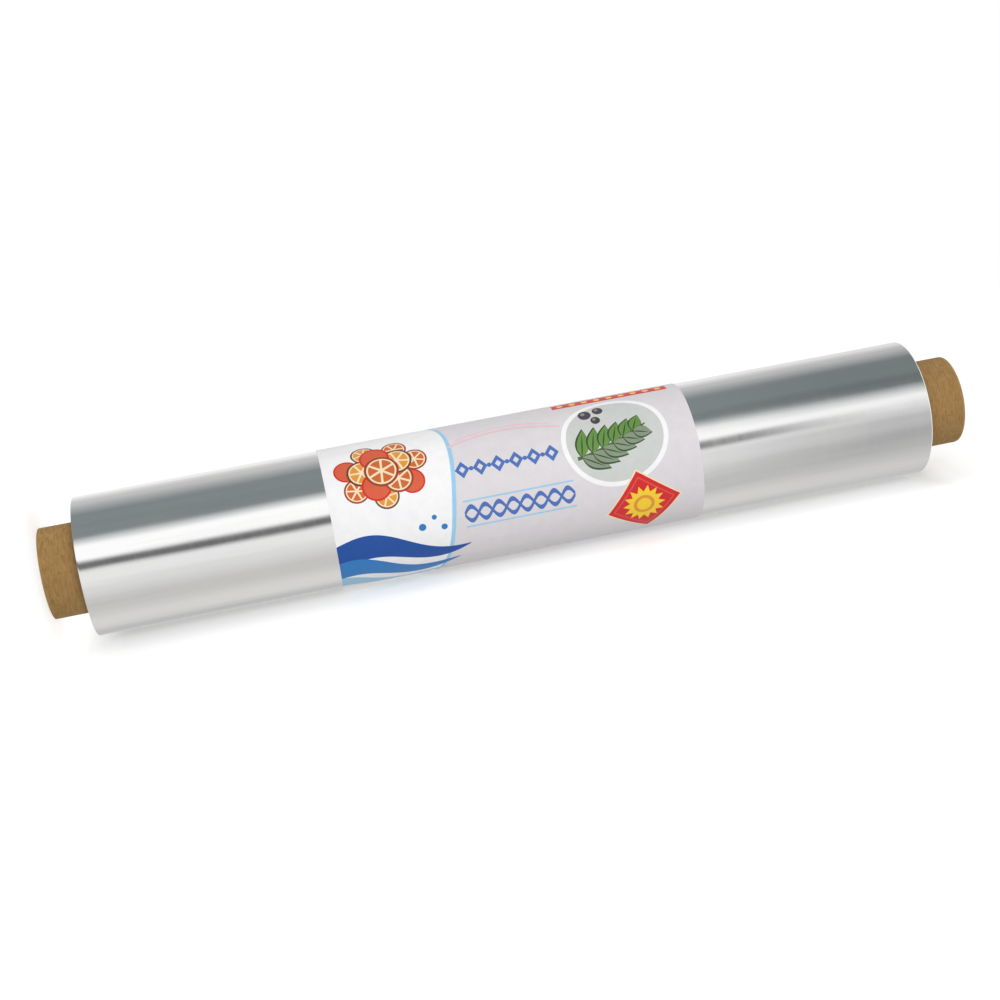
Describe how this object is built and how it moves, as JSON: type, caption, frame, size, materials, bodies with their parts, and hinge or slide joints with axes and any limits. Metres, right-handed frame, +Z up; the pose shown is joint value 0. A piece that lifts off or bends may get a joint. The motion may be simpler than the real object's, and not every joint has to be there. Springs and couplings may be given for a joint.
{
  "type": "aluminium foil roll",
  "caption": "Household aluminium foil wound on a cardboard core that stands out at both ends, held shut by a printed paper band.",
  "frame": {"origin": "centre of the core's lower end, which the roll stands on", "axes": "+Z up along the core's axis; the printed front of the label faces -Y"},
  "size_m": [0.0495, 0.0497, 0.33],
  "materials": {
    "kraft_cardboard": "matte kraft paperboard",
    "aluminium_foil": "bright rolled foil",
    "label_paper": "satin printed paper"
  },
  "bodies": {
    "root": {"core_tube": "kraft_cardboard", "foil_roll": "aluminium_foil", "label_band": "label_paper"}
  },
  "joints": []
}
